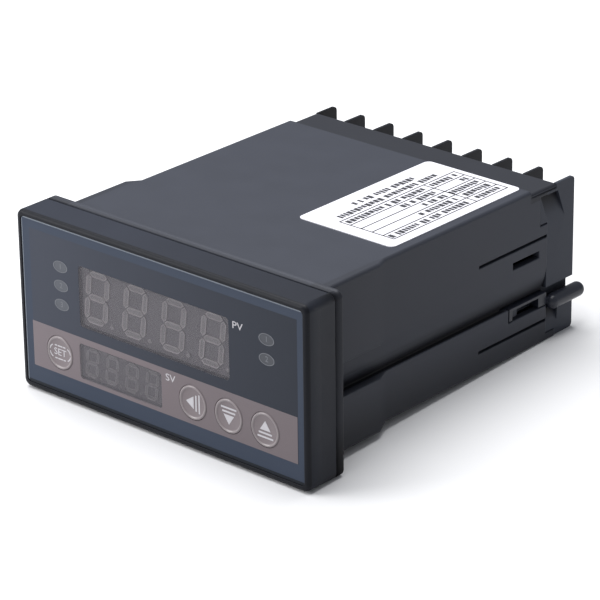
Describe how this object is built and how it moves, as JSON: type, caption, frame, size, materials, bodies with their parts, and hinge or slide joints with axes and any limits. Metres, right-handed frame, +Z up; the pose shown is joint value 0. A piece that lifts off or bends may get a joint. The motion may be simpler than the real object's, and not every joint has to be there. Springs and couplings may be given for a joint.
{
  "type": "panel temperature controller",
  "caption": "Panel-mount temperature controller with a wide digital front, round keys, a long plastic case, side release arms and a barrier terminal block.",
  "frame": {"origin": "centre of the panel seat, on the back face of the case flange, at the bezel's mid height", "axes": "+X along the front to the viewer's right, +Y back through the panel towards the terminals, +Z up"},
  "size_m": [0.096, 0.1147, 0.048],
  "materials": {
    "case_plastic": "fine matte texture",
    "bezel_plastic": "satin",
    "overlay_film": "fine matte film",
    "window_tint": "satin tinted film",
    "lamp_film": "matte printed film",
    "key_film": "matte embossed film",
    "display_face": "matte",
    "segment": "unlit translucent segments",
    "lamp": "diffused",
    "board": "solder mask over glass laminate",
    "steel": "bright nickel plate",
    "contact_brass": "plated",
    "label_film": "matte white film",
    "switch_plastic": "matte",
    "plunger_plastic": "satin",
    "socket_plastic": "satin",
    "core_steel": "stacked laminations",
    "copper": "enamelled copper wire under tape",
    "relay_plastic": "glossy moulded",
    "capacitor_sleeve": "shrunk sleeve",
    "film_capacitor": "dipped epoxy",
    "chip": "moulded epoxy",
    "can": "drawn can"
  },
  "bodies": {
    "case": {"case": "case_plastic", "terminal_block": "case_plastic", "terminal_contacts": "contact_brass", "terminal_clamps": "steel", "terminal_screws": "steel", "rating_label": "label_film", "wiring_label": "label_film"},
    "right_release_arm": {"right_release_arm": "case_plastic"},
    "left_release_arm": {"left_release_arm": "case_plastic"},
    "chassis": {"front_bezel": "bezel_plastic", "front_overlay": "overlay_film", "pv_window": "window_tint", "sv_window": "window_tint", "lamp_windows": "lamp_film", "pv_display": "display_face", "pv_digits": "segment", "sv_display": "display_face", "sv_digits": "segment", "lamps": "lamp", "display_board": "board", "board_screws": "steel", "key_switches": "switch_plastic", "power_board": "board", "control_board": "board", "board_headers": "switch_plastic", "rear_sockets": "socket_plastic", "transformer_core": "core_steel", "transformer_winding": "copper", "output_relay": "relay_plastic", "alarm_relay": "relay_plastic", "smoothing_capacitors": "capacitor_sleeve", "line_capacitor": "film_capacitor", "processor": "chip", "logic_chips": "chip", "crystal": "can"},
    "set_key": {"set_key": "key_film", "set_plunger": "plunger_plastic"},
    "shift_key": {"shift_key": "key_film", "shift_plunger": "plunger_plastic"},
    "down_key": {"down_key": "key_film", "down_plunger": "plunger_plastic"},
    "up_key": {"up_key": "key_film", "up_plunger": "plunger_plastic"}
  },
  "joints": [
    {"name": "chassis_slide", "type": "slide", "parent": "case", "child": "chassis", "axis": [0, -1, 0], "range_m": [0, 0.085]},
    {"name": "right_arm_flex", "type": "hinge", "parent": "case", "child": "right_release_arm", "pos_m": [0.0389, 0.0714, -0.0088], "axis": [0, 0, -1], "range_deg": [0, 6], "stiffness_Nm_per_rad": 0.15},
    {"name": "left_arm_flex", "type": "hinge", "parent": "case", "child": "left_release_arm", "pos_m": [-0.0389, 0.0714, -0.0088], "axis": [0, 0, 1], "range_deg": [0, 6], "stiffness_Nm_per_rad": 0.15},
    {"name": "set_key_press", "type": "slide", "parent": "chassis", "child": "set_key", "axis": [0, 1, 0], "range_m": [0, 0.0004], "stiffness_N_per_m": 400},
    {"name": "shift_key_press", "type": "slide", "parent": "chassis", "child": "shift_key", "axis": [0, 1, 0], "range_m": [0, 0.0004], "stiffness_N_per_m": 400},
    {"name": "down_key_press", "type": "slide", "parent": "chassis", "child": "down_key", "axis": [0, 1, 0], "range_m": [0, 0.0004], "stiffness_N_per_m": 400},
    {"name": "up_key_press", "type": "slide", "parent": "chassis", "child": "up_key", "axis": [0, 1, 0], "range_m": [0, 0.0004], "stiffness_N_per_m": 400}
  ]
}
